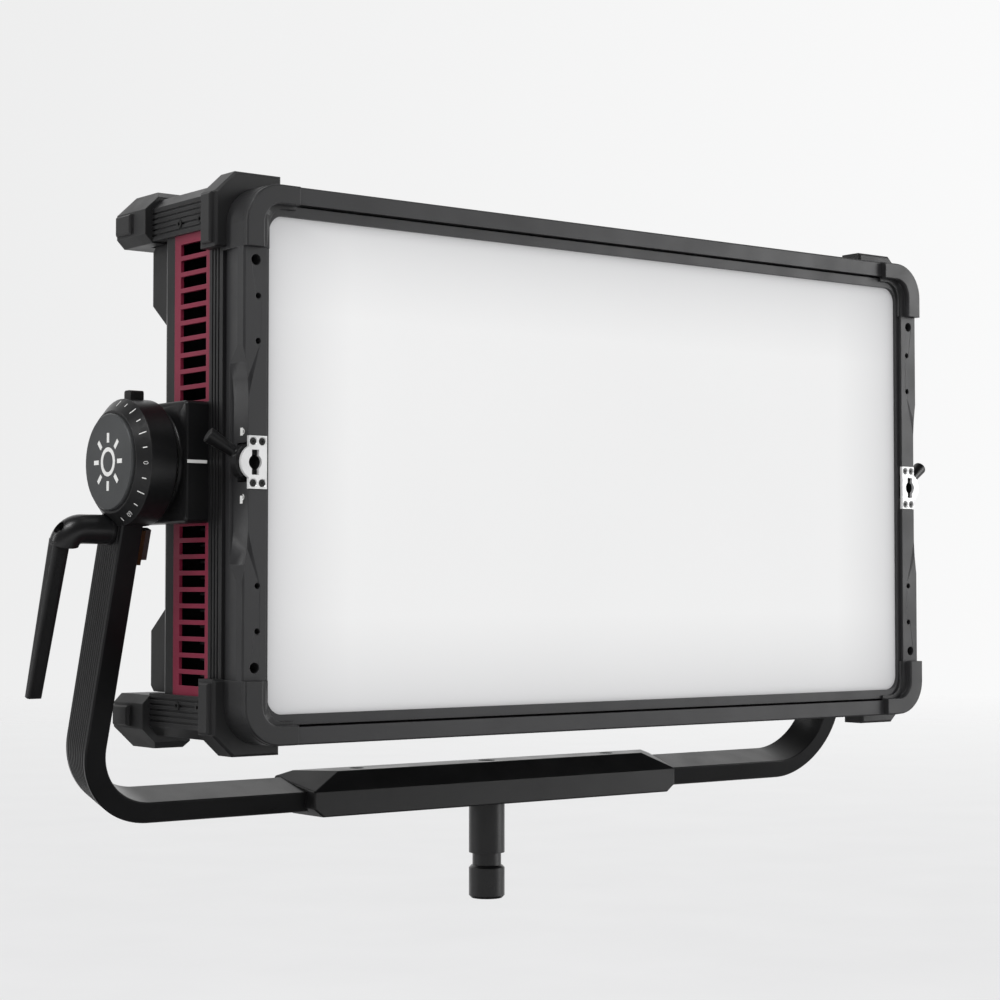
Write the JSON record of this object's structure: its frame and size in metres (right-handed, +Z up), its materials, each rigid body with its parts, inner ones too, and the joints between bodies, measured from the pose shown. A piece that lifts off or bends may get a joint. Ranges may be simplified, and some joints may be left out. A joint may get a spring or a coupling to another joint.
{
  "type": "led panel light",
  "caption": "Rectangular LED panel light with white diffuser, side vents and corner bumpers, tilting in a flat-bar U yoke on a stand spigot.",
  "frame": {"origin": "on the mounting spigot's axis at the underside of the yoke's centre block", "axes": "+Z up along the spigot, -Y the way the light shines with the head level, +X to the right seen from in front of the light's face with -X on the tilt lock's side"},
  "size_m": [0.7963, 0.1866, 0.5265],
  "materials": {
    "yoke_black": "flat aluminium bar, satin black coat, fine ribs",
    "steel_black": "steel, satin black paint",
    "cast_black": "castings with semi-gloss black paint",
    "frame_black": "fine satin black anodised extrusion",
    "chassis_black": "satin black coated sheet and extrusion",
    "vent_red": "raspberry red anodised plate",
    "bumper_rubber": "matte moulded rubber",
    "dial_plastic": "black with white printed ticks",
    "cap_grey": "brushed dark grey",
    "screw_black": "black oxide socket screws",
    "zinc_steel": "zinc plated",
    "bearing_bronze": "plain machined",
    "washer_polymer": "natural",
    "diffuser_white": "opal, fine matte face",
    "reflector_white": "matt white",
    "sink_aluminium": "mill finish",
    "board_green": "solder mask",
    "led_yellow": "phosphor under silicone",
    "fan_plastic": "fine moulded",
    "grille_steel": "black plated wire",
    "display_glass": "polished window",
    "knob_plastic": "soft-touch black",
    "socket_plastic": "moulded"
  },
  "bodies": {
    "yoke": {"spigot": "steel_black", "spigot_bolt": "zinc_steel", "yoke_block": "cast_black", "block_screws": "screw_black", "yoke_crossbar": "yoke_black", "yoke_bends": "yoke_black", "yoke_arms": "yoke_black", "hub_drums": "cast_black", "angle_dials": "dial_plastic", "hub_caps": "cap_grey", "hub_bushings": "bearing_bronze", "friction_washers": "washer_polymer", "brake_shoe": "bearing_bronze", "shoe_plate": "zinc_steel"},
    "head": {"accessory_plates": "zinc_steel", "bezel": "frame_black", "bottom_rail": "frame_black", "chassis_panels": "chassis_black", "circuit_boards": "board_green", "control_module": "chassis_black", "control_panel": "chassis_black", "corner_bars": "chassis_black", "corner_guards": "cast_black", "data_sockets": "socket_plastic", "diffuser": "diffuser_white", "display_window": "display_glass", "fan_frames": "fan_plastic", "fan_grilles": "grille_steel", "frame_screws": "screw_black", "front_bumpers": "bumper_rubber", "heat_sink": "sink_aluminium", "led_board": "board_green", "led_emitters": "led_yellow", "mixing_box": "reflector_white", "power_inlet": "socket_plastic", "power_module": "chassis_black", "rear_bumpers": "bumper_rubber", "rear_cover": "chassis_black", "side_panels": "chassis_black", "side_rail_left": "frame_black", "side_rail_right": "frame_black", "side_vents": "vent_red", "switch_frame": "knob_plastic", "tilt_brackets": "cast_black", "top_rail": "frame_black", "trunnions": "zinc_steel"},
    "clamp_screw": {"clamp_screw": "zinc_steel"},
    "lever": {"tilt_lever": "steel_black"},
    "catch": {"release_catch": "steel_black"},
    "lock_left": {"accessory_lock_left": "cast_black"},
    "lock_right": {"accessory_lock_right": "cast_black"},
    "fan_left": {"fan_rotor_left": "fan_plastic"},
    "fan_right": {"fan_rotor_right": "fan_plastic"},
    "intensity_knob": {"intensity_knob": "knob_plastic"},
    "colour_knob": {"colour_knob": "knob_plastic"},
    "mode_button": {"mode_button": "knob_plastic"},
    "menu_button": {"menu_button": "knob_plastic"},
    "set_button": {"set_button": "knob_plastic"},
    "power_switch": {"power_switch": "knob_plastic"}
  },
  "joints": [
    {"name": "tilt", "type": "hinge", "parent": "yoke", "child": "head", "pos_m": [0, -0.07787, 0.25567], "axis": [1, 0, 0], "range_deg": [-90, 90]},
    {"name": "tilt_clamp", "type": "hinge", "parent": "yoke", "child": "clamp_screw", "pos_m": [-0.37, -0.06323, 0.21059], "axis": [1, 0, 0], "range_deg": [-90, 90]},
    {"name": "lever_pull", "type": "slide", "parent": "clamp_screw", "child": "lever", "axis": [-1, 0, 0], "range_m": [0, 0.004], "stiffness_N_per_m": 400, "springref_m": -0.002},
    {"name": "catch_press", "type": "slide", "parent": "yoke", "child": "catch", "axis": [0, 0, -1], "range_m": [0, 0.003], "stiffness_N_per_m": 400, "springref_m": -0.002},
    {"name": "lock_turn_left", "type": "hinge", "parent": "head", "child": "lock_left", "pos_m": [-0.3187, -0.15737, 0.25387], "axis": [0, -1, 0], "range_deg": [0, 76]},
    {"name": "lock_turn_right", "type": "hinge", "parent": "head", "child": "lock_right", "pos_m": [0.3187, -0.15737, 0.25387], "axis": [0, 1, 0], "range_deg": [0, 76]},
    {"name": "fan_spin_left", "type": "hinge", "parent": "head", "child": "fan_left", "pos_m": [-0.155, -0.07037, 0.25567], "axis": [0, 1, 0], "continuous": true},
    {"name": "fan_spin_right", "type": "hinge", "parent": "head", "child": "fan_right", "pos_m": [0.155, -0.07037, 0.25567], "axis": [0, 1, 0], "continuous": true},
    {"name": "intensity_turn", "type": "hinge", "parent": "head", "child": "intensity_knob", "pos_m": [-0.08, -0.01837, 0.12027], "axis": [0, 1, 0], "continuous": true},
    {"name": "colour_turn", "type": "hinge", "parent": "head", "child": "colour_knob", "pos_m": [0.08, -0.01837, 0.12027], "axis": [0, 1, 0], "continuous": true},
    {"name": "mode_press", "type": "slide", "parent": "head", "child": "mode_button", "axis": [0, -1, 0], "range_m": [0, 0.0012], "stiffness_N_per_m": 300},
    {"name": "menu_press", "type": "slide", "parent": "head", "child": "menu_button", "axis": [0, -1, 0], "range_m": [0, 0.0012], "stiffness_N_per_m": 300},
    {"name": "set_press", "type": "slide", "parent": "head", "child": "set_button", "axis": [0, -1, 0], "range_m": [0, 0.0012], "stiffness_N_per_m": 300},
    {"name": "power_rock", "type": "hinge", "parent": "head", "child": "power_switch", "pos_m": [0.25, -0.02477, 0.12027], "axis": [0, 0, 1], "range_deg": [0, 16]}
  ]
}
